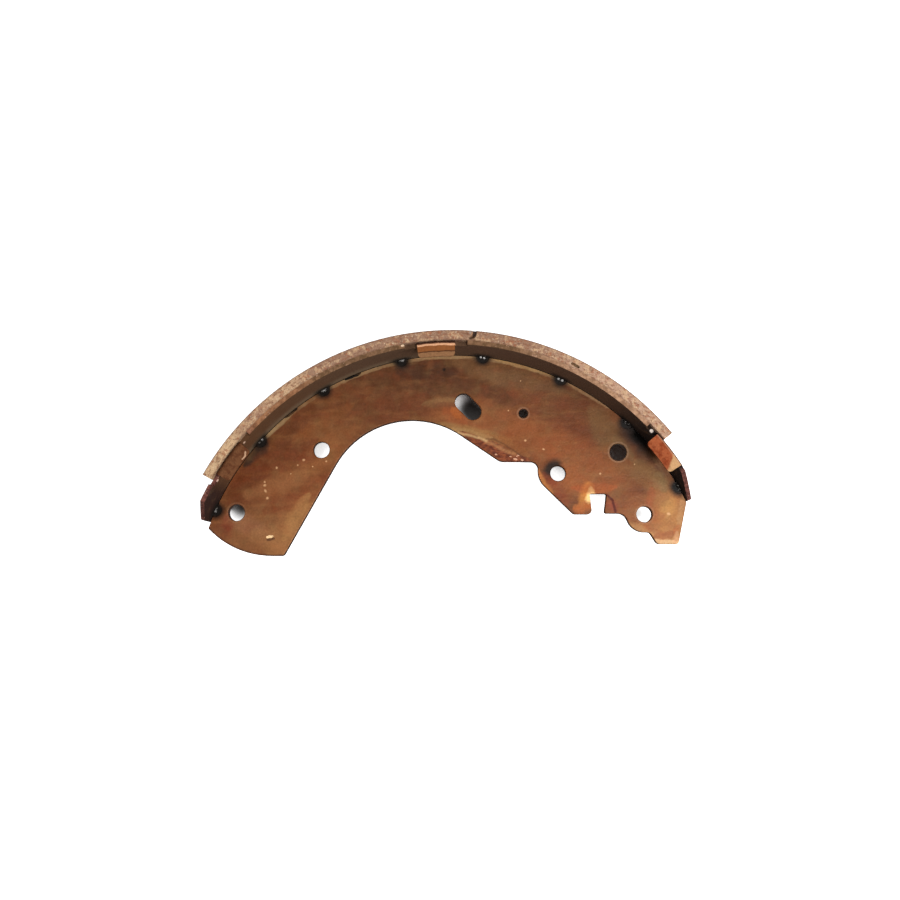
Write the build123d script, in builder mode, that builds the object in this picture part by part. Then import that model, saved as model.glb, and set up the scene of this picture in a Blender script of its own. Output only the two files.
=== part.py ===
from build123d import *
from math import cos, degrees, radians, sin, tan
import os

# Drum brake shoe: a T-section of a flat web and a rolled table, with a bonded lining.
# Millimetres. The shoe lies on the edge of its table: +X runs along the chord towards the adjuster end,
# +Y towards the crown, and +Z across the shoe. Angles are in degrees about the drum's axis, from the crown,
# and positive towards the adjuster end.

# ---- The drum that the shoe fits, and the thicknesses that stack up inside it
drum_radius = 127.0
shoe_width = 57.0
lining_thickness = 4.5
table_thickness = 2.0
web_thickness = 5.0
weld_gap = 0.4              # between the web's edge and the table, closed by the weld projections

# ---- How far each piece reaches round the drum
lining_start = -61.1
lining_end = 50.9
table_start = -69.9
table_end = 64.8
anchor_tip_angle = -71.0    # where the web's anchor end meets its rim edge
adjuster_tip_angle = 65.0   # where its adjuster end does

# ---- Table: nibs bent inward on both edges, with a relief notch on each side
nib_angles = (-55.45, -3.3, 53.2)
nib_arc = 8.15
nib_reach = 7.3             # from the table's outer face to the nib's tip
nib_tip_corner = 1.6
nib_tip_bevel = (2.1, 0.6)  # along the nib, and down from the shoe's edge
bend_inside = 1.0
relief_width = 5.7
relief_corner = 1.4
relief_below_bend = 0.8
anchor_clip = (8.2, 15.7)   # corner cut off the strip's end: along the rim, across the strip
adjuster_clip = (15.5, 24.0)

# ---- Web: its rounds, notch, holes and slot
anchor_foot_drop = 13.45    # from the tip of the anchor end down to its flat foot
anchor_end_radius = 40.75
arch_radius = 40.9
strut_lobe_radius = 9.6
link_lobe_radius = 8.4
link_lobe_flank = 70.0      # slope of the lobe's side
notch_mouth = 5.5
notch_floor = 7.95
notch_depth = 9.6
hook_hole = 7.7
anchor_hole = 7.8
pilot_hole = 4.4
lever_hole = 8.0
strut_hole = 7.2
link_hole = 7.4
slot_width = 8.0
slot_length = 14.5
slot_angle = -46.0
web_edge_round = 0.4
punch_bevel = 0.35          # drawn in by the punch, round each hole's upper edge

# ---- Projection welds between the web and the table
weld_angles = (-67.0, -48.6, -30.4, -11.6, 6.8, 25.1, 42.9, 61.2)
recess_radius = 3.3
recess_depth = 0.8
projection_arc = 2.6
bead_radius = 1.1
bead_spacing = 1.9

# ---- Damage to the upper side: a chip out of the lining's outer edge, a pit in it, and a dent in the web.
# The chip's corners are measured along the rim and outward
chip_angle = 4.4
chip_outline = [(-0.3, 1.0), (-0.4, -2.3), (-1.6, -3.1), (-1.4, -3.8), (0.4, -3.4), (1.5, -1.8), (1.6, 1.0)]
chip_depth = 1.2
pit_angle = 26.7
pit_from_rim = 3.1
pit_size = (4.3, 1.1, 0.8)      # long, wide, deep
pit_tilt = -4.0
dent_size = (3.2, 1.5, 0.3)
dent_tilt = 8.0
dent_slope = 55.0

# ---- Worked out from the sizes above
half_width = shoe_width / 2
table_outer = drum_radius - lining_thickness
table_inner = table_outer - table_thickness
web_edge = table_inner - weld_gap
bend_outside = bend_inside + table_thickness
nib_tip = table_outer - nib_reach
bevel_along, bevel_down = nib_tip_bevel
relief_arc = degrees(relief_width / table_outer)
relief_depth = bend_outside + relief_below_bend
recess_floor = web_thickness / 2 - recess_depth


def rim_point(radius, angle):
    """A point at an angle from the crown, measured from the drum's axis."""
    return Vector(radius * sin(radians(angle)), radius * cos(radians(angle)))


# ---- Web outline: corners and their radii, measured from three fixed places on the rim edge
anchor_tip = rim_point(web_edge, anchor_tip_angle)
adjuster_tip = rim_point(web_edge, adjuster_tip_angle)
crown = rim_point(web_edge, 0)
beyond_rim = 2 * drum_radius

anchor_corners = [
    (-11.5, beyond_rim, 0),
    (-11.5, -anchor_foot_drop, anchor_end_radius),
    (35.05, -anchor_foot_drop, 2.0),
]
arch_corners = [
    (-33.1, -12.6, arch_radius),    # rounds off the corner of the leg and the shoulder
]

# The link hole is at the centre of its lobe, and the notch is narrower at its mouth than at its floor
link_place = Vector(-19.5, -5.45)
link_lobe_bottom = link_place.Y - link_lobe_radius
link_lobe_corner = link_place.X - link_lobe_radius * tan(radians(link_lobe_flank / 2))
notch_middle = -40.85
toe = -5.5
ledge = -5.1
flank_run = (ledge - link_lobe_bottom) / tan(radians(link_lobe_flank))
adjuster_corners = [
    (-86.3, 19.1, 6.0),
    (-68.7, 19.1, 3.5),
    (-68.7, 10.6, strut_lobe_radius),
    (-52.35, toe, 2.5),
    (notch_middle - notch_mouth / 2, toe, 2.0),
    (notch_middle - notch_floor / 2, toe + notch_depth, 0.8),
    (notch_middle + notch_floor / 2, toe + notch_depth, 0.8),
    (notch_middle + notch_mouth / 2, ledge, 1.0),
    (link_lobe_corner - flank_run, ledge, 4.5),
    (link_lobe_corner, link_lobe_bottom, link_lobe_radius),
    (-17.15, link_lobe_bottom, 2.0),
    (-13.75, -19.3, 2.5),
    (-3.95, -19.3, 1.2),
    (2.2, 10.0, 0),
]
web_corners = []
for place, corners in (
    (anchor_tip, anchor_corners),
    (crown, arch_corners),
    (adjuster_tip, adjuster_corners),
):
    web_corners += [(place.X + x, place.Y + y, radius) for x, y, radius in corners]
round_corners = web_corners[1:-1]
last_corner = web_corners[-1]
foot_bottom = anchor_tip.Y - anchor_foot_drop

# Each hole's centre and diameter
web_holes = [
    (anchor_tip + (52.1, 36.3), hook_hole),
    (anchor_tip + (12.7, 6.75), anchor_hole),
    (crown + (33.35, -27.55), pilot_hole),
    (adjuster_tip + (-31.3, 23.5), lever_hole),
    (adjuster_tip + (-59.4, 13.6), strut_hole),
    (adjuster_tip + link_place, link_hole),
]
slot_centre = crown + (7.4, -24.3)
dent_centre = anchor_tip + (28.6, -4.7)

# ---- Where the drum's axis stands, so that the origin is below the middle of the shoe
left_side = rim_point(table_outer, table_start).X
right_side = rim_point(table_outer, table_end).X
drum_centre = Vector(-(left_side + right_side) / 2, -(foot_bottom + drum_radius) / 2, half_width)
drum_axis = Axis(drum_centre, (0, 0, -1))
mid_plane = Plane(drum_centre)


def section_plane(angle):
    """A plane through the drum's axis: x outward, y across the shoe."""
    outward = rim_point(1, angle)
    onward = rim_point(1, angle + 90)
    return Plane(drum_centre, x_dir=outward, z_dir=onward)


def rim_plane(angle):
    """A plane that touches the table's outer face: x along the rim, y across the shoe."""
    outward = rim_point(1, angle)
    onward = rim_point(1, angle + 90)
    return Plane(drum_centre + outward * table_outer, x_dir=onward, z_dir=-outward)


def side_plane(radius, angle):
    """The shoe's upper side, centred on a point of it: x along the rim, y outward."""
    place = drum_centre + rim_point(radius, angle) + (0, 0, half_width)
    return Plane(place, x_dir=rim_point(1, angle + 90), z_dir=(0, 0, 1))


def radius_of(edge):
    """How far an edge's middle is from the drum's axis."""
    offset = edge.center() - drum_centre
    return (offset.X**2 + offset.Y**2) ** 0.5


def on_rim(edge):
    """Whether an edge follows the web's rim."""
    return edge.geom_type == GeomType.CIRCLE and abs(edge.radius - web_edge) < 0.01


# ---- Web: a flat blank, holed, coined at each weld, with projections that reach the table
with BuildPart() as web:
    with BuildSketch(mid_plane.offset(-web_thickness / 2)):
        with BuildLine():
            points = [(x, y) for x, y, radius in web_corners]
            lower_edge = FilletPolyline(*points, radius=[radius for x, y, radius in round_corners])
            Polyline(lower_edge @ 1, (last_corner[0], beyond_rim), lower_edge @ 0)
        make_face()
        Circle(web_edge, mode=Mode.INTERSECT)
    extrude(amount=web_thickness)

    rim_edges = web.edges().filter_by(on_rim)
    fillet(web.faces().filter_by(Axis.Z).edges() - rim_edges, web_edge_round)

    with BuildSketch(mid_plane.offset(-web_thickness / 2)):
        for centre, diameter in web_holes:
            with Locations(centre):
                Circle(diameter / 2)
        with Locations(slot_centre):
            SlotOverall(slot_length, slot_width, rotation=slot_angle)
    extrude(amount=web_thickness, mode=Mode.SUBTRACT)
    upper_face = web.faces().sort_by(Axis.Z)[-1]
    chamfer([edge for rim in upper_face.inner_wires() for edge in rim.edges()], punch_bevel)

    dent_long, dent_wide, dent_deep = dent_size
    with BuildSketch(mid_plane.offset(web_thickness / 2)):
        with Locations(dent_centre):
            SlotOverall(dent_long, dent_wide, rotation=dent_tilt)
    extrude(amount=-dent_deep, taper=dent_slope, mode=Mode.SUBTRACT)

    for side in (1, -1):
        with BuildSketch(mid_plane.offset(side * recess_floor)):
            with Locations(*[rim_point(table_inner, angle) for angle in weld_angles]):
                Circle(recess_radius)
        extrude(amount=side * web_thickness, mode=Mode.SUBTRACT)

    for angle in weld_angles:
        with BuildSketch(section_plane(angle - projection_arc / 2)):
            with Locations((web_edge, 0)):
                Rectangle(2 * weld_gap, 2 * recess_floor)
        revolve(axis=drum_axis, revolution_arc=projection_arc)

# ---- Table: one half of the rolled strip, with its nibs and clipped corners, then its mirror image
with BuildPart() as table:
    with BuildSketch(section_plane(table_start)):
        with Locations((table_inner, 0)):
            Rectangle(table_thickness, half_width, align=(Align.MIN, Align.MIN))
    revolve(axis=drum_axis, revolution_arc=table_end - table_start)

    for nib_angle in nib_angles:
        # The strip stops where the bend begins, and a relief notch frees each side of the nib
        with BuildSketch(section_plane(nib_angle - nib_arc / 2)):
            with Locations((table_inner, half_width - bend_outside)):
                Rectangle(table_thickness, bend_outside, align=(Align.MIN, Align.MIN))
        revolve(axis=drum_axis, revolution_arc=nib_arc, mode=Mode.SUBTRACT)
        for side in (1, -1):
            with BuildSketch(rim_plane(nib_angle + side * (nib_arc + relief_arc) / 2)):
                with Locations((0, half_width)):
                    RectangleRounded(relief_width, 2 * relief_depth, relief_corner)
            extrude(amount=2 * table_thickness, both=True, mode=Mode.SUBTRACT)

        # The nib's section, from the foot of its relief notches round the bend to its tip
        with BuildSketch(section_plane(nib_angle - nib_arc / 2)):
            with BuildLine():
                outer = FilletPolyline(
                    (table_outer, half_width - relief_depth),
                    (table_outer, half_width),
                    (nib_tip + bevel_along, half_width),
                    (nib_tip, half_width - bevel_down),
                    radius=(bend_outside, 0),
                )
                inner = FilletPolyline(
                    (nib_tip, half_width - table_thickness),
                    (table_inner, half_width - table_thickness),
                    (table_inner, half_width - relief_depth),
                    radius=bend_inside,
                )
                Line(outer @ 1, inner @ 0)
                Line(inner @ 1, outer @ 0)
            make_face()
        revolve(axis=drum_axis, revolution_arc=nib_arc)
    tip_corners = table.edges().filter_by(Axis.Z).filter_by(lambda edge: radius_of(edge) < nib_tip + 0.1)
    fillet(tip_corners, nib_tip_corner)

    for end_angle, inward, (along, across) in (
        (table_start, 1, anchor_clip),
        (table_end, -1, adjuster_clip),
    ):
        with BuildSketch(rim_plane(end_angle)):
            with BuildLine():
                Polyline(
                    (0, half_width - across),
                    (inward * along, half_width),
                    (inward * along, 2 * half_width),
                    (-inward * along, 2 * half_width),
                    (-inward * along, half_width - across),
                    close=True,
                )
            make_face()
        extrude(amount=2 * table_thickness, both=True, mode=Mode.SUBTRACT)
    mirror(about=mid_plane)

# ---- Lining: a friction block bonded to the table, with its ends cut towards the drum's axis
with BuildPart() as lining:
    with BuildSketch(section_plane(lining_start)):
        with Locations((table_outer, 0)):
            Rectangle(lining_thickness, shoe_width, align=(Align.MIN, Align.CENTER))
    revolve(axis=drum_axis, revolution_arc=lining_end - lining_start)

    with BuildSketch(side_plane(drum_radius, chip_angle)):
        with BuildLine():
            Polyline(*chip_outline, close=True)
        make_face()
    extrude(amount=-chip_depth, mode=Mode.SUBTRACT)

    pit_long, pit_wide, pit_deep = pit_size
    with BuildSketch(side_plane(drum_radius - pit_from_rim, pit_angle)):
        SlotOverall(pit_long, pit_wide, rotation=pit_tilt)
    extrude(amount=-pit_deep, mode=Mode.SUBTRACT)

# ---- Weld flash: two round beads run together in the corner of each recess
with BuildPart() as weld_beads:
    bead_arc = degrees(bead_spacing / table_inner)
    for side in (1, -1):
        bead_angles = [angle + half * bead_arc / 2 for angle in weld_angles for half in (-1, 1)]
        bead_places = [rim_point(table_inner, angle) for angle in bead_angles]
        with Locations(*[drum_centre + place + (0, 0, side * recess_floor) for place in bead_places]):
            Sphere(bead_radius)
    with Locations(drum_centre):
        Cylinder(table_inner, shoe_width, mode=Mode.INTERSECT)
        Cylinder(drum_radius, 2 * recess_floor, mode=Mode.SUBTRACT)

os.makedirs("parts", exist_ok=True)
web.part.label = "web"
export_step(web.part, "parts/web.step")
table.part.label = "table"
export_step(table.part, "parts/table.step")
lining.part.label = "lining"
export_step(lining.part, "parts/lining.step")
weld_beads.part.label = "weld_beads"
export_step(weld_beads.part, "parts/weld_beads.step")
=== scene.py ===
"""Drum brake shoe: looks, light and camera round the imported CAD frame.

Objects are in metres. Paint is placed in millimetres from the drum's axis, with heights in
millimetres above the floor and angles in degrees from the crown, positive towards the
adjuster end.
"""
from math import cos, pi, radians, sin, sqrt

import bpy
from mathutils import Matrix, Vector


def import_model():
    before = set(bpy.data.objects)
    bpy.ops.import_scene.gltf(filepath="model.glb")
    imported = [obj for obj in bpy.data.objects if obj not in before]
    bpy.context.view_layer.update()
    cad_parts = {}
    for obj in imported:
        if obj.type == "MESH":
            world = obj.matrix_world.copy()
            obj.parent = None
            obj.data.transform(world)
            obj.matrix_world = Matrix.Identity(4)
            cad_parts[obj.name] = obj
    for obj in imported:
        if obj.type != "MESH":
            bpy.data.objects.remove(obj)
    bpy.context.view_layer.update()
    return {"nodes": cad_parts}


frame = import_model()

# ---- Places in the shoe's frame, in mm
DRUM_CENTRE = (2.0989, -76.3254)
MIDDLE_HEIGHT = 28.5        # the web's middle plane
RIM_RADIUS = 120.3          # the gap between the web and the table
WELD_ANGLES = (-67.0, -48.6, -30.4, -11.6, 6.8, 25.1, 42.9, 61.2)

# ---- Camera, solved from the photo's three shoes: metres, radians, and millimetres for the lens
CAMERA_PLACE = (0.012149, -0.060705, 0.58228)
CAMERA_TILT = radians(6.1742)
CAMERA_ROLL = radians(1.1434)
CAMERA_LENS = 47.36
CAMERA_SENSOR = 36
CAMERA_CLIP = 0.01


def linear(code):
    """A hex sRGB colour as the linear RGBA that shaders take."""
    values = [int(code[i:i + 2], 16) / 255 for i in (0, 2, 4)]
    return (*(v / 12.92 if v <= 0.04045 else ((v + 0.055) / 1.055) ** 2.4 for v in values), 1.0)


class Paint:
    """Builds one material's nodes. Nearly every method adds nodes and returns their output."""

    def __init__(self, name):
        self.material = bpy.data.materials.new(name)
        self.material.use_nodes = True
        self.nodes = self.material.node_tree.nodes
        self.links = self.material.node_tree.links
        self.shader = self.nodes["Principled BSDF"]
        coordinates = self.nodes.new("ShaderNodeTexCoord").outputs["Object"]
        millimetres = self.vector("SCALE", coordinates, scale=1000)
        self.height = self.parts(millimetres)[2]
        self.place = self.vector("SUBTRACT", millimetres, DRUM_CENTRE + (0,))

    def put(self, value, socket):
        """Links an output to a socket, or sets the socket to a value."""
        if isinstance(value, bpy.types.NodeSocket):
            self.links.new(value, socket)
        elif value is not None:
            socket.default_value = value

    def math(self, operation, a, b=None, c=None):
        node = self.nodes.new("ShaderNodeMath")
        node.operation = operation
        for value, socket in zip((a, b, c), node.inputs):
            self.put(value, socket)
        return node.outputs[0]

    def vector(self, operation, a, b=None, scale=None):
        node = self.nodes.new("ShaderNodeVectorMath")
        node.operation = operation
        self.put(a, node.inputs[0])
        self.put(b, node.inputs[1])
        self.put(scale, node.inputs[3])
        is_number = operation in ("LENGTH", "DISTANCE", "DOT_PRODUCT")
        return node.outputs["Value" if is_number else "Vector"]

    def parts(self, vector):
        node = self.nodes.new("ShaderNodeSeparateXYZ")
        self.put(vector, node.inputs[0])
        return node.outputs

    def join(self, x, y, z):
        node = self.nodes.new("ShaderNodeCombineXYZ")
        for value, socket in zip((x, y, z), node.inputs):
            self.put(value, socket)
        return node.outputs[0]

    def noise(self, vector, scale, detail=2.0, roughness=0.5, output="Fac"):
        node = self.nodes.new("ShaderNodeTexNoise")
        self.put(vector, node.inputs["Vector"])
        node.inputs["Scale"].default_value = scale
        node.inputs["Detail"].default_value = detail
        node.inputs["Roughness"].default_value = roughness
        return node.outputs[output]

    def rise(self, value, low, high, start=0.0, end=1.0, smooth=True):
        """start up to low, end from high on, and a smooth step between. low may be the larger."""
        node = self.nodes.new("ShaderNodeMapRange")
        node.interpolation_type = "SMOOTHSTEP" if smooth else "LINEAR"
        names = ("Value", "From Min", "From Max", "To Min", "To Max")
        for name, setting in zip(names, (value, low, high, start, end)):
            self.put(setting, node.inputs[name])
        return node.outputs["Result"]

    def mix(self, factor, a, b):
        """Two colours, each an output or a hex code, mixed: a at factor 0 and b at factor 1."""
        node = self.nodes.new("ShaderNodeMix")
        node.data_type = "RGBA"
        self.put(factor, node.inputs["Factor"])
        self.put(linear(a) if isinstance(a, str) else a, node.inputs["A"])
        self.put(linear(b) if isinstance(b, str) else b, node.inputs["B"])
        return node.outputs["Result"]

    def bands(self, colour, value, rows):
        """Lays colours over another, each growing from its first value to its second."""
        for low, high, code in rows:
            colour = self.mix(self.rise(value, low, high), colour, code)
        return colour

    def choose(self, factor, a, b):
        """One shader or the other."""
        node = self.nodes.new("ShaderNodeMixShader")
        for value, socket in zip((factor, a, b), node.inputs):
            self.put(value, socket)
        return node.outputs[0]

    def bump(self, height, distance, under=None):
        node = self.nodes.new("ShaderNodeBump")
        self.put(height, node.inputs["Height"])
        node.inputs["Distance"].default_value = distance
        self.put(under, node.inputs["Normal"])
        return node.outputs[0]

    def flat(self, vector):
        """A place moved down to height 0."""
        return self.vector("MULTIPLY", vector, (1, 1, 0))

    def warped(self, vector, size, amount):
        """The flat place, shifted by up to about amount mm in waves of about size mm."""
        waves = self.noise(vector, 1 / size, 2.0, output="Color")
        shift = self.vector("SUBTRACT", waves, (0.5, 0.5, 0.5))
        return self.flat(self.vector("ADD", vector, self.vector("SCALE", shift, scale=2 * amount)))

    def spot(self, vector, x, y, long, wide, turn, soft, strength=1.0):
        """How much of an oval mark covers a flat place.

        It has its full strength inside, and soft is the share of its half width over which it
        falls to 0 at its edge. An oval is drawn by its two foci.
        """
        if long == wide:
            away = self.vector("DISTANCE", vector, (x, y, 0))
            return self.rise(away, long * (1 - soft), long, strength, 0)
        if wide > long:
            long, wide, turn = wide, long, turn + 90
        reach = sqrt(long ** 2 - wide ** 2)
        across = reach * cos(radians(turn))
        up = reach * sin(radians(turn))
        near = self.vector("DISTANCE", vector, (x - across, y - up, 0))
        far = self.vector("DISTANCE", vector, (x + across, y + up, 0))
        total = self.math("ADD", near, far)
        return self.rise(total, 2 * (long - soft * (long - reach)), 2 * long, strength, 0)

    def marks(self, colour, vector, rows, soft):
        """Lays oval marks over a colour, one after the other."""
        for x, y, long, wide, turn, code, strength in rows:
            cover = self.spot(vector, x, y, long, wide, turn, soft, strength)
            colour = self.mix(cover, colour, code)
        return colour

    def line(self, vector, points, width, soft):
        """How much of a line through some points, width mm to each side, covers a flat place."""
        total = None
        for (xa, ya), (xb, yb) in zip(points, points[1:]):
            start = Vector((xa, ya, 0))
            run = Vector((xb - xa, yb - ya, 0))
            offset = self.vector("SUBTRACT", vector, start)
            along = self.vector("DOT_PRODUCT", offset, run / run.length_squared)
            along = self.math("MINIMUM", self.math("MAXIMUM", along, 0), 1)
            foot = self.vector("SCALE", run, scale=along)
            distance = self.vector("LENGTH", self.vector("SUBTRACT", offset, foot))
            cover = self.rise(distance, width * (1 - soft), width, 1, 0)
            total = cover if total is None else self.math("MAXIMUM", total, cover)
        return total

    def strokes(self, colour, vector, rows):
        """Lays lines over a colour, one after the other."""
        for points, width, soft, strength, code in rows:
            cover = self.math("MULTIPLY", self.line(vector, points, width, soft), strength)
            colour = self.mix(cover, colour, code)
        return colour

    def polar(self, vector):
        """Radius from the drum's axis, and angle from the crown."""
        x, y, _ = self.parts(vector)
        angle = self.math("MULTIPLY", self.math("ARCTAN2", x, y), 180 / pi)
        return self.vector("LENGTH", self.flat(vector)), angle

    def welds(self, vector):
        """Distance from the nearest weld on the rim, in the plane of the web."""
        flat = self.flat(vector)
        nearest = None
        for angle in WELD_ANGLES:
            centre = (RIM_RADIUS * sin(radians(angle)), RIM_RADIUS * cos(radians(angle)), 0)
            distance = self.vector("LENGTH", self.vector("SUBTRACT", flat, centre))
            nearest = distance if nearest is None else self.math("MINIMUM", nearest, distance)
        return nearest

    def levelness(self):
        """1 on level faces, 0 on upright ones."""
        normal = self.nodes.new("ShaderNodeNewGeometry").outputs["Normal"]
        return self.math("ABSOLUTE", self.parts(normal)[2])

    def open_sky(self, distance):
        """The share of the sky that a place sees past anything nearer than distance, in metres."""
        node = self.nodes.new("ShaderNodeAmbientOcclusion")
        node.inputs["Distance"].default_value = distance
        node.samples = SKY_SAMPLES
        return node.outputs["AO"]

    def finish(self, colour, roughness, normal=None, metallic=None):
        self.put(colour, self.shader.inputs["Base Color"])
        self.put(roughness, self.shader.inputs["Roughness"])
        self.put(normal, self.shader.inputs["Normal"])
        self.put(metallic, self.shader.inputs["Metallic"])
        return self.material


# ---- Web: an oily brown film on blanked steel, thick and thin in zones and smaller patches.
# A mark is x, y, half length, half width, turn, colour and strength
WEB_ZONES = [
    # anchor end, paler towards its foot and its inner edge
    (-84, 38, 36, 22, 15, "865936", 0.8),
    (-74, 40, 26, 9, 60, "9c6c42", 0.8),
    (-72, 64, 22, 10, 25, "8a5631", 0.6),
    (-56, 79, 21, 10, 48, "8c5b34", 0.6),
    # red-brown bands across it, and the nib's painted shadow beside it
    (-84, 69, 25, 9, 30, "6b381c", 0.7),
    (-96, 60, 9, 20, -25, "6a371b", 0.7),
    (-68, 55, 24, 6, 25, "7a3f20", 0.7),
    (-92.6, 73.6, 9, 5.2, 48, "33221a", 0.95),
    (-107, 39, 7, 7, 0, "6f3420", 0.6),
    # crown, darkest below the middle nib
    (-36, 101, 40, 18, 14, "653b20", 0.75),
    (-6, 110, 46, 15, 0, "53331d", 0.75),
    (-8, 113.5, 20, 8, 3, "44291a", 0.7),
    (26, 111, 29, 11, -16, "6b4a2d", 0.85),
    (20, 102, 20, 9, -8, "5c3921", 0.6),
    (-20, 96, 20, 8, 4, "69391f", 0.5),
    (14, 90, 28, 11, -15, "8a5430", 0.8),
    # middle, redder, with olive where the film is thick
    (50, 91, 28, 15, -32, "6f4024", 0.75),
    (56, 82, 14, 10, -20, "6c381c", 0.5),
    (40, 80, 20, 11, -10, "8a5029", 0.75),
    (57, 72, 22, 13, -12, "8a4f29", 0.75),
    (57, 61, 15, 9, -20, "9a5b30", 0.75),
    (72, 86, 13, 9, -50, "7d5c39", 0.8),
    (68, 63, 14, 10, -10, "8b522c", 0.55),
    (84, 68, 17, 9, -35, "82542f", 0.65),
    (92, 62, 13, 8, -50, "7d5834", 0.7),
    (49, 57, 9, 5, -50, "7c3a20", 0.65),
    # adjuster end, bare and pale
    (98, 56, 10, 10, 0, "94683f", 0.9),
    (97, 49, 14, 14, 0, "925f38", 0.8),
    (101, 41, 14, 18, 0, "ac7a4a", 0.9),
    (86, 46, 12, 10, 20, "8f5631", 0.7),
]
WEB_PATCHES = [
    (-82, 59, 17, 6, 20, "94633e", 0.55),
    (-96, 40, 12, 6, -20, "94654a", 0.55),
    (-83, 35, 13, 7, 5, "9a6d46", 0.5),
    (-73, 44, 13, 4.4, 62, "a67a4c", 0.65),
    (-61, 88, 18, 5, 33, "85532c", 0.45),
    (-67, 72.5, 7, 4.4, 20, "743a1e", 0.65),
    (-104.5, 41, 3.6, 5, 0, "7c3520", 0.6),
    (-4.5, 97.8, 10, 3.2, 6, "866a48", 0.6),
    (-14, 95.5, 18, 3, 3, "63361d", 0.55),
    (1.0, 90.0, 8.5, 4.6, -40, "964e26", 0.5),
    (1.2, 92.6, 4.0, 2.6, -48, "b4642a", 0.5),
    (14.2, 93, 3.4, 8, -30, "8c5e3a", 0.4),
    (36, 105.5, 28, 5.5, -16, "74553a", 0.65),
    (45, 100, 20, 4.4, -8, "6c3d22", 0.65),
    (5, 84.8, 15, 2.8, -10, "a07c4e", 0.6),
    (17, 82.0, 13, 3.6, -20, "966c40", 0.5),
    (9, 82.8, 10, 2.2, -14, "ac8c60", 0.5),
    (29, 76.8, 9, 3, -32, "8a5228", 0.6),
    # the next row: painted highlight along the lobe's lit edge
    (42.2, 60.4, 10, 2.8, -62, "b8743c", 0.9),
    (45.6, 65.0, 5.0, 4.0, 80, "3a1a0c", 0.8),
    (46.5, 59.5, 7, 3, -60, "843a1c", 0.6),
    # the next three rows: painted glare at the notch's left edge
    (62.6, 54, 7, 4.6, 78, "c8843c", 0.9),
    (64.2, 53.6, 4.6, 2.4, 82, "ffdc9c", 1.0),
    (61, 48, 5.5, 3.8, 10, "b05f28", 0.85),
    (66, 57.4, 11, 3.2, 0, "a05228", 0.65),
    (74.3, 49.5, 5, 5, 0, "8c4232", 0.9),
    (88.6, 37.5, 12, 3.6, -18, "c99a68", 0.5),
    (106.2, 47, 2.0, 8, -8, "c49a70", 0.45),
    (92.4, 53, 6, 2.6, 80, "985030", 0.5),
    (98.6, 35.6, 5.6, 2.6, 14, "965a38", 0.75),
    (94.6, 37.6, 4.6, 2.0, -24, "965c3a", 0.6),
    (104.0, 38.2, 3.2, 1.8, 60, "b4683a", 0.6),
    # the next row: painted highlight along the toe's lower edge
    (98.5, 32.4, 9, 1.7, 0, "e2c098", 0.85),
    (103.6, 34.4, 3.4, 2.0, 70, "d4a682", 0.65),
    (100, 47, 7, 4, 60, "b88a52", 0.7),
    (94, 42, 7, 5, 30, "9a5a34", 0.6),
    (97, 60, 6, 4, -60, "8e7650", 0.7),
    (91, 66, 8, 4, -40, "8e6a42", 0.55),
    (80, 76, 8, 3.6, -50, "7c6240", 0.6),
]
# pale pieces along the rim: painted highlight on the web's edge
WEB_RIM_HIGHLIGHTS = [
    (-82, 86.8, 10, 1.6, 43, "a8906e", 0.7),
    (-45, 111, 14, 1.3, 23, "8f775a", 0.75),
    (-30, 116, 6, 1.1, 15, "7f6a50", 0.7),
    (-3, 119.2, 17, 1.0, 1, "9c8262", 0.65),
    (33, 114.9, 19, 1.4, -16, "a88a60", 0.85),
    (64, 101, 13, 1.2, -32, "a08060", 0.8),
    (96, 68, 7, 1.0, -54, "7a5a3c", 0.5),
]
# painted shade: black in the slits where the web stands off the table
SLIT_SHADOWS = [
    (-75.9, 92.8, 3.8, 1.0, 39.3, "0c0806", 1.0),
    (-47.1, 110.2, 4.2, 1.0, 23.1, "0c0806", 1.0),
]
# bare steel by the arch, where the film has peeled: x, y, half length, half width, turn
PEELED = [(13, 78.6, 11, 2.6, -28), (21.5, 74.6, 7.5, 3.6, -38), (29, 71.6, 8.5, 2.3, -14)]
# lines: their points, half width, softness, strength, colour
FILM_LINES = [
    # the peeled film's crack, a painted highlight on its ridge, and its broken edge
    ([(16, 79), (19.4, 78), (23.4, 75.6), (29, 73.4)], 1.6, 1.0, 0.55, "b8865c"),
    ([(3, 83.3), (9.3, 81.9), (12.7, 80.9), (16, 79.6)], 1.1, 1.0, 0.75, "ccac80"),
    ([(16, 80.4), (19.4, 80.4), (24.4, 77.9), (28.3, 75.2), (32, 72.4)], 0.7, 1.0, 0.6, "5e3a20"),
]
EDGE_LINES = [
    # the stain beside the notch, and painted shade along the outlines of the foot and of part of
    # the toe
    ([(72.3, 54), (74.8, 51.5), (76, 46.5)], 1.0, 0.8, 0.9, "4e160c"),
    ([(-114.6, 39.1), (-108.3, 33.4), (-100.9, 29.2), (-92.8, 26.5), (-84.3, 25.6), (-78.5, 25.6)],
     1.2, 1.0, 0.8, "40241a"),
    ([(107.9, 42.0), (106.9, 37.6)], 1.3, 1.0, 0.8, "7c3c30"),
]
# flakes left on the bare steel, and specks anywhere: x, y, size
FLAKES = [
    (29.5, 71, 1.0), (32.6, 70.6, 0.9), (27.2, 72.2, 0.6), (31, 72.6, 0.6), (20.6, 73.2, 0.7),
    (30.2, 72.2, 0.5),
]
SPECKS = [
    (-82.3, 67, 0.8), (-69.6, 70.6, 0.9), (-87.8, 60.2, 0.7), (-87.7, 58.5, 1.0),
    (-87.4, 56, 1.0), (-86.5, 52.5, 1.0), (34.3, 79.7, 0.9), (42.8, 75.6, 0.7), (69.1, 64, 0.7),
    (26.5, 94, 0.5), (100.5, 45.5, 1.1), (-72.5, 68, 0.5), (-65.5, 67.5, 0.5), (-75.5, 64, 0.5),
    (-59, 70, 0.6), (85, 68.5, 0.5), (32, 108, 0.5),
]
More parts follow.
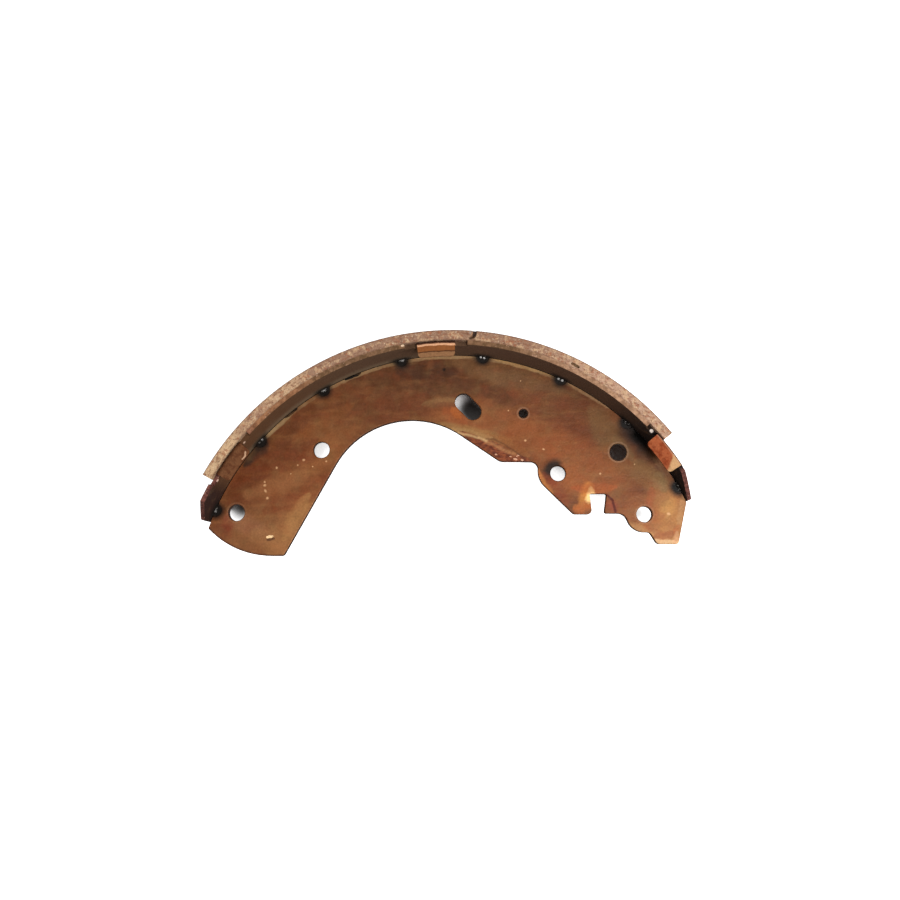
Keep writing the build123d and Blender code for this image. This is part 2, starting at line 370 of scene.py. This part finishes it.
# single marks: x, y, half length, half width, turn, softness, strength, colour
SINGLE_MARKS = [
    # a painted highlight on the dent, and its painted shadow
    (-85, 34.5, 1.8, 0.9, 8, 0.6, 0.9, "fbe0b8"),
    (-84.6, 33.4, 2.2, 0.9, 8, 0.8, 0.7, "4a2c1a"),
    # a dark patch at the strut hole's upper left, and the dark dot below the middle nib
    (47.0, 67.0, 6.0, 5.4, 40, 1.0, 0.95, "1c1008"),
    (-3.9, 113.3, 1.2, 1.2, 0, 0.9, 1.0, "24150d"),
]
# pale ring round a hole, a painted highlight on its punched burr: x, y, the hole's radius,
# strength
BURR_HIGHLIGHTS = [
    (77.55, 74.26, 4.0, 0.55), (33.35, 92.55, 2.2, 0.35), (-100.86, 45.85, 3.9, 0.15),
    (89.35, 45.31, 3.7, 0.3),
]
# how the painted highlight along the rim, and the soot and painted shadow beside the right nib,
# fade in and out, by radius and by angle, and the scorch round each weld, by distance
RIM_HIGHLIGHT_RADII = (118.3, 118.9)
RIM_HIGHLIGHT_START = (-51, -47)
RIM_HIGHLIGHT_END = (36, 20)
SOOT_AND_SHADOW_RADII = (110.5, 118)
SOOT_AND_SHADOW_START = (41, 46)
SOOT_AND_SHADOW_END = (55, 48)
WEB_SCORCH = (2.0, 5.9)
FILM_TINT = (1.05, 0.94, 0.80)


def web_material():
    paint = Paint("web_steel")
    place = paint.place
    grain = paint.noise(place, 1.1, 4.0, 0.65)
    mottle = paint.noise(place, 0.22, 3.0, 0.6)
    clouds = paint.noise(place, 0.05, 3.0, 0.55)
    drift = paint.warped(paint.warped(place, 16, 4), 5, 1.6)
    wavy = paint.warped(paint.warped(place, 7, 1.6), 2, 0.5)
    crisp = paint.warped(place, 2.5, 0.5)
    ragged = paint.warped(place, 1.2, 0.5)

    # the plain film, which is all that the lower side has
    film = paint.mix(paint.rise(clouds, 0.35, 0.65), "653a1f", "7c4a28")
    upper = paint.marks(film, drift, WEB_ZONES, 1.0)
    upper = paint.marks(upper, wavy, WEB_PATCHES, 1.0)

    # broken painted highlight along the rim's edge, from the left nib to a little past the crown
    radius, angle = paint.polar(crisp)
    broken = paint.rise(paint.noise(place, 0.12, 2.0, 0.5), 0.3, 0.55, 0.25, 0.75)
    rim = paint.math("MULTIPLY", paint.rise(radius, *RIM_HIGHLIGHT_RADII), broken)
    rim = paint.math("MULTIPLY", rim, paint.rise(angle, *RIM_HIGHLIGHT_END))
    rim = paint.math("MULTIPLY", rim, paint.rise(angle, *RIM_HIGHLIGHT_START))
    upper = paint.mix(rim, upper, "93795a")
    # painted highlight pieces along the rim's edge
    upper = paint.marks(upper, crisp, WEB_RIM_HIGHLIGHTS, 1.0)
    # painted shade in the slits by the table
    upper = paint.marks(upper, crisp, SLIT_SHADOWS, 0.5)

    # redder and more olive in blotches of a few millimetres, and faint streaks along the blank
    red = paint.noise(place, 0.16, 2.0, 0.6)
    olive = paint.noise(paint.vector("ADD", place, (90, 40, 0)), 0.13, 2.0, 0.6)
    run = paint.noise(paint.vector("MULTIPLY", wavy, (0.06, 0.35, 1)), 1.0, 1.5, 0.5)
    upper = paint.mix(paint.rise(red, 0.42, 0.8, 0, 0.24), upper, "8e4420")
    upper = paint.mix(paint.rise(olive, 0.42, 0.8, 0, 0.35), upper, "806440")
    upper = paint.mix(paint.rise(run, 0.45, 0.75, 0, 0.14), upper, "a87848")

    # black along the rim, from the weld down to the right nib: weld soot, and the right nib's
    # painted shadow
    radius, angle = paint.polar(drift)
    soot_and_shadow = paint.math("MULTIPLY", paint.rise(radius, *SOOT_AND_SHADOW_RADII), paint.rise(angle, *SOOT_AND_SHADOW_START))
    soot_and_shadow = paint.math("MULTIPLY", soot_and_shadow, paint.rise(angle, *SOOT_AND_SHADOW_END))
    upper = paint.mix(soot_and_shadow, upper, "0e0a08")

    # the film has peeled along the edge by the arch, and its broken edge stands up as a ridge,
    # with a painted highlight along it
    streaks = paint.noise(paint.vector("MULTIPLY", drift, (0.35, 0.9, 1)), 1.0, 3.0, 0.6)
    bare = paint.mix(paint.rise(streaks, 0.4, 0.62), "5c2814", "8c4c2c")
    for x, y, long, wide, turn in PEELED:
        upper = paint.mix(paint.spot(ragged, x, y, long, wide, turn, 0.5, 0.85), upper, bare)
    upper = paint.strokes(upper, crisp, FILM_LINES)
    for x, y, size in FLAKES:
        flake = paint.spot(ragged, x, y, size, 0.6 * size, -10, 0.8, 0.8)
        upper = paint.mix(flake, upper, "e0b49c")

    upper = paint.strokes(upper, crisp, EDGE_LINES)
    for x, y, size in SPECKS:
        upper = paint.mix(paint.spot(crisp, x, y, size, size, 0, 0.9, 0.75), upper, "e8bd94")
    for *mark, code in SINGLE_MARKS:
        upper = paint.mix(paint.spot(crisp, *mark), upper, code)
    flat = paint.flat(place)
    for x, y, size, strength in BURR_HIGHLIGHTS:
        away = paint.vector("DISTANCE", flat, (x, y, 0))
        outside = paint.rise(away, size + 0.3, size + 1.3, strength, 0)
        ring = paint.math("MULTIPLY", paint.rise(away, size, size + 0.3), outside)
        upper = paint.mix(ring, upper, "b0907a")

    above = paint.rise(paint.height, MIDDLE_HEIGHT - 0.1, MIDDLE_HEIGHT + 0.1, smooth=False)
    colour = paint.mix(above, film, upper)

    # scorched steel round each weld
    weld = paint.welds(paint.warped(place, 3, 0.6))
    colour = paint.mix(paint.rise(weld, *WEB_SCORCH, 1.0, 0), colour, "120d0a")

    # the blanked edges are duller than the faces, and painted darker as shade
    level = paint.levelness()
    colour = paint.mix(paint.rise(level, 0.2, 0.7, 0.85, 0), colour, "30211a")
    roughness = paint.rise(mottle, 0.3, 0.7, 0.38, 0.52)
    roughness = paint.math("MAXIMUM", roughness, paint.rise(level, 0.5, 0.9, 1.0, 0))

    shade = paint.rise(grain, 0.3, 0.7, 0.84, 1.14, smooth=False)
    shade = paint.math("MULTIPLY", shade, paint.rise(mottle, 0.3, 0.7, 0.92, 1.08, smooth=False))
    colour = paint.vector("SCALE", paint.vector("MULTIPLY", colour, FILM_TINT), scale=shade)
    normal = paint.bump(mottle, 0.00015, under=paint.bump(grain, 0.00005))
    paint.shader.inputs["Specular IOR Level"].default_value = 0.25
    return paint.finish(colour, roughness, normal, 0.1)


# ---- Table. Tones along the rim, the nearly black one a painted shade towards the adjuster end: from angle, to angle, colour
INNER_TONES = [(-50, -15, "5c4432"), (-5, 16, "614736"), (33, 50, "1b1210"), (-59, -64, "301c16")]
# and along the cut edge: from angle, to angle, where its blotches turn from one colour to another
EDGE_TONES = [
    (-28, -36, 0.7, "7c5439", "a0704f"),
    (13, 24, 0.7, "8c684f", "b68e70"),
    (-45, -52, 0.6, "4c2a26", "7a4c42"),
    (42, 58, 0.6, "4c2a26", "7a4c42"),
]
# painted glints on the table's upper edge: x, y, half length, half width, turn, colour, strength
EDGE_GLINTS = [
    (89.9, 81.5, 1.1, 1.1, 0, "fff0e4", 1.0),
    (-22.0, 119.8, 0.9, 0.6, 10, "e8c8a8", 0.8),
    (-93.3, 76.1, 0.8, 0.6, 50, "d8b49c", 0.8),
    (-105.1, 59.0, 0.8, 0.6, 60, "e0bca8", 0.8),
]
GLINT_HEIGHTS = (51.7, 52.7)
# painted highlight on a curl of metal at the left nib's corner
CURL_HIGHLIGHT_POINTS = [(-92.2, 71.6), (-92.3, 69.9), (-93.4, 68.4)]
CURL_HIGHLIGHT_HEIGHTS = (50, 51)
# the cut edge, the nibs' faces and the scorch, by their distance from the web's middle plane
EDGE_OFFSETS = (27.6, 28.3)
NIB_OFFSETS = (25.0, 26.0)
SCORCH_OFFSETS = (12, 3)
TABLE_SCORCH = (2.0, 7.0)   # by distance from the weld
# dust on the inner face, by height and by angle
DUST_FOOT = (30, 31)
DUST_TOP = (41, 32)
DUST_START = (-60, -50)
DUST_END = (-4, -14)
# the clipped corners, by their distance in degrees from the crown
CLIP_ANGLES = (57.5, 58.5)
NIB_ANGLES = (-55.45, -3.3, 53.2)
NIB_HALF_ANGLES = (4.4, 4.0)
NIB_RADII = (122.3, 121.6)
CROWN_NIB_START = (-20, -18)
RIGHT_NIB_START = (20, 22)
# the crown's nib, from its tip to its bend, with a painted highlight on the bend and painted shade
# under the lining's edge past it: from radius, to radius, colour
CROWN_NIB_TONES = [
    (117.0, 117.4, "4c2c18"), (117.5, 117.9, "86502a"), (119.9, 120.3, "dca47c"),
    (120.9, 121.4, "5a3424"),
]
# the right nib is bare past a line across it: angle plus slope times radius, from and to
BARE_SLOPE = 0.346
BARE_CORNER = (96.2, 96.9)


def table_material():
    paint = Paint("table_steel")
    place = paint.place
    grain = paint.noise(place, 1.1, 4.0, 0.65)
    mottle = paint.noise(place, 0.2, 3.0, 0.6)
    blotch = paint.noise(place, 0.45, 3.0, 0.6)
    fine = paint.noise(paint.vector("ADD", place, (30, 0, 0)), 0.9, 3.0, 0.6)
    crisp = paint.warped(place, 1.5, 0.3)
    radius, angle = paint.polar(paint.warped(place, 3, 0.4))
    offset = paint.math("ABSOLUTE", paint.math("SUBTRACT", paint.height, MIDDLE_HEIGHT))

    # inner face: olive brown on the anchor side, painted nearly black as shade towards the
    # adjuster end, and dusty above the web
    inner = paint.bands("5d3f28", angle, INNER_TONES)
    inner = paint.mix(paint.rise(mottle, 0.5, 0.75, 0, 0.4), inner, "6b523c")
    dusty = paint.rise(paint.height, *DUST_TOP, 0, 0.55)
    dusty = paint.math("MULTIPLY", dusty, paint.rise(paint.height, *DUST_FOOT))
    dusty = paint.math("MULTIPLY", dusty, paint.rise(angle, *DUST_START))
    dusty = paint.math("MULTIPLY", dusty, paint.rise(angle, *DUST_END))
    inner = paint.mix(dusty, inner, "7e6c56")

    # cut edge and clipped corners: dark red-brown at both ends, as tan as the lining in between
    edge = paint.mix(paint.rise(blotch, 0.35, 0.7), "634830", "826046")
    for start, end, turned, base, other in EDGE_TONES:
        tone = paint.mix(paint.rise(blotch, 0.35, turned), base, other)
        edge = paint.mix(paint.rise(angle, start, end), edge, tone)
    edge = paint.mix(paint.rise(fine, 0.6, 0.72, 0, 0.7), edge, "c09880")
    near_end = paint.rise(paint.math("ABSOLUTE", angle), *CLIP_ANGLES)
    clipped = paint.math("MULTIPLY", paint.rise(paint.levelness(), 0.2, 0.5), near_end)
    cut = paint.math("MAXIMUM", paint.rise(offset, *EDGE_OFFSETS), clipped)
    colour = paint.mix(cut, inner, edge)

    # nibs: brown on the anchor side, copper with a painted highlight on its bend at the crown, and
    # orange with a bare tan corner and a painted highlight on its outer edge on the adjuster side
    nib = paint.mix(paint.rise(blotch, 0.35, 0.6), "5c341d", "6e462b")
    crown = paint.bands("8a6242", radius, CROWN_NIB_TONES)
    nib = paint.mix(paint.rise(angle, *CROWN_NIB_START), nib, crown)
    right = paint.mix(paint.rise(blotch, 0.35, 0.6), "83391c", "9c5230")
    bare = paint.rise(paint.math("MULTIPLY_ADD", radius, BARE_SLOPE, angle), *BARE_CORNER)
    right = paint.mix(bare, right, "c09468")
    # painted highlight along the right nib's outer edge
    right = paint.mix(paint.rise(radius, 120.8, 121.4, 0, 0.45), right, "c89878")
    nib = paint.mix(paint.rise(angle, *RIGHT_NIB_START), nib, right)
    on_nib = paint.rise(offset, *NIB_OFFSETS)
    on_nib = paint.math("MULTIPLY", on_nib, paint.rise(radius, *NIB_RADII))
    off_nib = None
    for nib_angle in NIB_ANGLES:
        away = paint.math("ABSOLUTE", paint.math("SUBTRACT", angle, nib_angle))
        off_nib = away if off_nib is None else paint.math("MINIMUM", off_nib, away)
    on_nib = paint.math("MULTIPLY", on_nib, paint.rise(off_nib, *NIB_HALF_ANGLES))
    colour = paint.mix(on_nib, colour, nib)

    # painted highlights near the upper edge only: along the curl, and glints on the edge
    curl_highlight = paint.line(crisp, CURL_HIGHLIGHT_POINTS, 0.55, 0.9)
    curl_highlight = paint.math("MULTIPLY", curl_highlight, paint.rise(paint.height, *CURL_HIGHLIGHT_HEIGHTS, 0, 0.9))
    colour = paint.mix(curl_highlight, colour, "c8a080")
    glinting = paint.marks(colour, crisp, EDGE_GLINTS, 0.6)
    colour = paint.mix(paint.rise(paint.height, *GLINT_HEIGHTS), colour, glinting)

    # scorched steel round each weld, beside the web
    weld = paint.welds(paint.warped(place, 3, 0.6))
    beside = paint.rise(offset, *SCORCH_OFFSETS)
    scorch = paint.math("MULTIPLY", paint.rise(weld, *TABLE_SCORCH, 0.95, 0), beside)
    colour = paint.mix(scorch, colour, "0f0b09")

    shade = paint.rise(grain, 0.3, 0.7, 0.82, 1.15, smooth=False)
    colour = paint.vector("SCALE", colour, scale=shade)
    roughness = paint.rise(mottle, 0.3, 0.7, 0.85, 1.0)
    paint.shader.inputs["Specular IOR Level"].default_value = 0.15
    return paint.finish(colour, roughness, paint.bump(grain, 0.00008), 0.0)


# ---- Lining: the chip and the pit in its upper edge, as marks
LINING_CHIPS = [
    (10.6, 125.4, 2.6, 1.1, 80, "36241e", 0.95),
    (9.4, 123.3, 1.6, 0.8, 30, "543a20", 0.85),
    (8.6, 126.2, 1.2, 0.7, 90, "98928a", 0.6),
    (55.7, 110.7, 2.3, 0.8, -30.7, "5c4428", 0.85),
]
CHIP_HEIGHTS = (55.0, 55.6)
OUTER_EDGE_RADII = (126.3, 127.0)
INNER_EDGE_RADII = (123.2, 122.6)
PALE_ANGLE = -37.5
ARC_PER_DEGREE = 2.2        # mm along the rim


def lining_material():
    paint = Paint("friction")
    place = paint.place
    fine = paint.noise(place, 1.6, 3.0, 0.7)
    mottle = paint.noise(place, 0.3, 3.0, 0.6)
    rusty = paint.noise(paint.vector("ADD", place, (0, 70, 0)), 0.5, 3.0, 0.65)
    dark = paint.noise(place, 0.9, 3.0, 0.65)
    pale = paint.noise(paint.vector("ADD", place, (50, 0, 0)), 0.9, 3.0, 0.65)
    crisp = paint.warped(place, 1.5, 0.3)
    radius, angle = paint.polar(place)

    # streaks along the block
    along = paint.math("MULTIPLY", paint.math("MULTIPLY", angle, ARC_PER_DEGREE), 0.5)
    outward = paint.math("MULTIPLY", radius, 1.2)
    streaks = paint.noise(paint.join(along, outward, paint.height), 0.9, 3.0, 0.6)

    # tones along the rim, with a pale patch on the anchor side
    colour = paint.bands("a27c62", angle, [(-44, -24, "95715a")])
    away = paint.math("ABSOLUTE", paint.math("SUBTRACT", angle, PALE_ANGLE))
    colour = paint.mix(paint.rise(away, 7, 2, 0, 0.75), colour, "caa682")
    colour = paint.bands(colour, angle, [(15, 33, "b8937a"), (-47, -53, "c6a47e")])

    streaked = paint.math("MULTIPLY", paint.rise(streaks, 0.48, 0.64), 0.7)
    mottled = paint.math("MULTIPLY", paint.rise(mottle, 0.48, 0.62), 0.6)
    colour = paint.mix(streaked, colour, "805238")
    colour = paint.mix(mottled, colour, "d2ae86")
    colour = paint.mix(paint.rise(rusty, 0.53, 0.66, 0, 0.65), colour, "985838")
    colour = paint.mix(paint.rise(dark, 0.58, 0.68, 0, 0.65), colour, "5e3c2c")
    colour = paint.mix(paint.rise(pale, 0.6, 0.7, 0, 0.6), colour, "e0c8a8")

    # darker towards both edges of its side, and in the chip and the pit
    colour = paint.mix(paint.rise(radius, *OUTER_EDGE_RADII, 0, 0.75), colour, "5c4034")
    colour = paint.mix(paint.rise(radius, *INNER_EDGE_RADII, 0, 0.35), colour, "5e4030")
    chipped = paint.marks(colour, crisp, LINING_CHIPS, 0.6)
    colour = paint.mix(paint.rise(paint.height, *CHIP_HEIGHTS), colour, chipped)
    shade = paint.rise(fine, 0.3, 0.7, 0.78, 1.2, smooth=False)
    colour = paint.vector("SCALE", colour, scale=shade)
    return paint.finish(colour, 0.95, paint.bump(fine, 0.0002), 0.0)


# ---- Weld flash, with painted glints: bright places, as x, y, radius, strength
WELD_GLINTS = [
    (-60.4, 103.3, 0.9, 0.8), (13.5, 119.2, 0.7, 0.6), (15.0, 118.8, 0.7, 0.9),
    (49.8, 108.4, 1.1, 1.0), (51.6, 107.9, 1.0, 1.0), (-23.8, 117.8, 0.9, 0.5),
    (-89.5, 80.0, 0.8, 0.15), (-110.4, 46.6, 0.9, 0.4), (80.9, 87.5, 0.8, 0.5),
    (104.8, 56.1, 0.9, 0.7),
]


def bead_material():
    paint = Paint("weld_metal")
    grain = paint.noise(paint.place, 1.4, 3.0, 0.6)
    crisp = paint.warped(paint.place, 1.5, 0.4)
    colour = paint.mix(paint.rise(grain, 0.45, 0.6), "1c1714", "3c3630")
    for x, y, size, strength in WELD_GLINTS:
        glint = paint.spot(crisp, x, y, size, size, 0, 0.7, strength)
        colour = paint.mix(glint, colour, "e8e4e0")
    return paint.finish(colour, 0.35, paint.bump(grain, 0.0002), 0.4)


def dress(node, material):
    mesh = frame["nodes"][node].data
    mesh.materials.clear()
    mesh.materials.append(material)


# ---- Stage
WORLD_STRENGTH = 0.24
LIGHT_AIM = (0, 0, 0.03)
SOFTBOXES = [
    # name, place, size, power
    ("key", (0.218, -0.248, 0.833), 0.14, 4.1),
    ("left", (-0.75, -0.25, 0.95), 0.4, 1.3),
    ("right", (0.75, -0.20, 0.60), 0.4, 4.4),
    ("back", (-0.25, 0.95, 0.28), 0.4, 4.2),
]
FLOOR_SIZE = 6              # m
SKY_REACH = 0.05            # m
SKY_SAMPLES = 16
# the floor's colour in the camera's view: where it sees much sky, a painted shade where it sees
# little sky, and in the painted shadows
FLOOR_SEEN = (0.9, 0.9, 0.9, 1.0)
FLOOR_DEEP = (0.35, 0.27, 0.23, 1.0)
FLOOR_DARK = (0.07, 0.055, 0.045, 1.0)
# and in the light that it throws back on the shoe
FLOOR_BOUNCE = (0.1, 0.1, 0.1, 1.0)
# painted shadows on the floor under parts of some holes: x, y, half length, half width, turn,
# strength
FLOOR_SHADES = [
    (9.9, 97.1, 10.0, 9.0, -46, 0.95),
    (-103.6, 50.6, 9.6, 9.6, 0, 0.97),
    (34.7, 96.9, 6, 6, 0, 0.7),
    (90.4, 47.4, 5.0, 5.0, 0, 0.45),
]
# and a painted pool of light that glows under the hook hole: x, y, half length, half width, turn,
# softness, strength
FLOOR_LIGHT = (-65.5, 78.8, 7.0, 7.0, 0, 0.6, 0.5)


def floor_material():
    """White to the camera but for the shoe's shadow, painted by how much sky each place sees, with
    painted shadows and a painted pool of light under some holes, and clear from below.
    """
    paint = Paint("floor")
    sky = paint.open_sky(SKY_REACH)
    # painted shade where the floor sees little sky
    colour = paint.mix(paint.rise(sky, 0.18, 0.25), FLOOR_DEEP, FLOOR_SEEN)
    # a painted pool of light under the hook hole
    lit = paint.spot(paint.place, *FLOOR_LIGHT)
    light = paint.math("MAXIMUM", paint.rise(sky, 0.32, 0.40), lit)
    # painted shadows, darker and without the glow
    for x, y, long, wide, turn, strength in FLOOR_SHADES:
        shade = paint.spot(paint.place, x, y, long, wide, turn, 0.9, strength)
        colour = paint.mix(shade, colour, FLOOR_DARK)
        light = paint.math("MULTIPLY", light, paint.math("SUBTRACT", 1, shade))
    paint.shader.inputs["Emission Color"].default_value = (1, 1, 1, 1)
    paint.put(light, paint.shader.inputs["Emission Strength"])
    paint.shader.inputs["Specular IOR Level"].default_value = 0.1

    plain = paint.nodes.new("ShaderNodeBsdfDiffuse")
    plain.inputs["Color"].default_value = FLOOR_BOUNCE
    white = paint.nodes.new("ShaderNodeEmission")
    clear = paint.nodes.new("ShaderNodeBsdfTransparent")
    rays = paint.nodes.new("ShaderNodeLightPath").outputs
    below = paint.nodes.new("ShaderNodeNewGeometry").outputs["Backfacing"]
    mirrored = paint.math("MAXIMUM", rays["Is Glossy Ray"], rays["Is Transmission Ray"])
    look = paint.choose(rays["Is Camera Ray"], plain.outputs[0], paint.shader.outputs[0])
    look = paint.choose(mirrored, look, white.outputs[0])
    look = paint.choose(below, look, clear.outputs[0])
    paint.put(look, paint.nodes["Material Output"].inputs["Surface"])
    return paint.finish(colour, 0.9)


def floor():
    bpy.ops.mesh.primitive_plane_add(size=FLOOR_SIZE, location=(0, 0, 0))
    ground = bpy.context.object
    ground.name = "floor"
    ground.data.materials.append(floor_material())


def world():
    """White to the camera, and a dimmer light on the shoe."""
    scene_world = bpy.data.worlds.new("studio")
    bpy.context.scene.world = scene_world
    scene_world.use_nodes = True
    nodes = scene_world.node_tree.nodes
    links = scene_world.node_tree.links
    background = nodes["Background"]
    background.inputs["Color"].default_value = (1, 1, 1, 1)
    rays = nodes.new("ShaderNodeLightPath")
    strength = nodes.new("ShaderNodeMapRange")
    strength.inputs["To Min"].default_value = WORLD_STRENGTH
    strength.inputs["To Max"].default_value = 1.0
    links.new(rays.outputs["Is Camera Ray"], strength.inputs["Value"])
    links.new(strength.outputs["Result"], background.inputs["Strength"])


def softbox(name, place, size, power):
    lamp = bpy.data.lights.new(name, "AREA")
    lamp.shape = "DISK"
    lamp.size = size
    lamp.energy = power
    holder = bpy.data.objects.new(name, lamp)
    holder.location = place
    towards = Vector(LIGHT_AIM) - Vector(place)
    holder.rotation_euler = towards.to_track_quat("-Z", "Y").to_euler()
    bpy.context.scene.collection.objects.link(holder)


def camera():
    lens = bpy.data.cameras.new("camera")
    lens.sensor_width = CAMERA_SENSOR
    lens.lens = CAMERA_LENS
    lens.clip_start = CAMERA_CLIP
    holder = bpy.data.objects.new("camera", lens)
    turn = Matrix.Rotation(CAMERA_TILT, 4, "X") @ Matrix.Rotation(CAMERA_ROLL, 4, "Y")
    holder.matrix_world = Matrix.Translation(CAMERA_PLACE) @ turn
    bpy.context.scene.collection.objects.link(holder)
    bpy.context.scene.camera = holder


camera()
for softbox_row in SOFTBOXES:
    softbox(*softbox_row)
world()
floor()
dress("web", web_material())
dress("table", table_material())
dress("lining", lining_material())
dress("weld_beads", bead_material())
bpy.context.scene.view_settings.view_transform = "Standard"
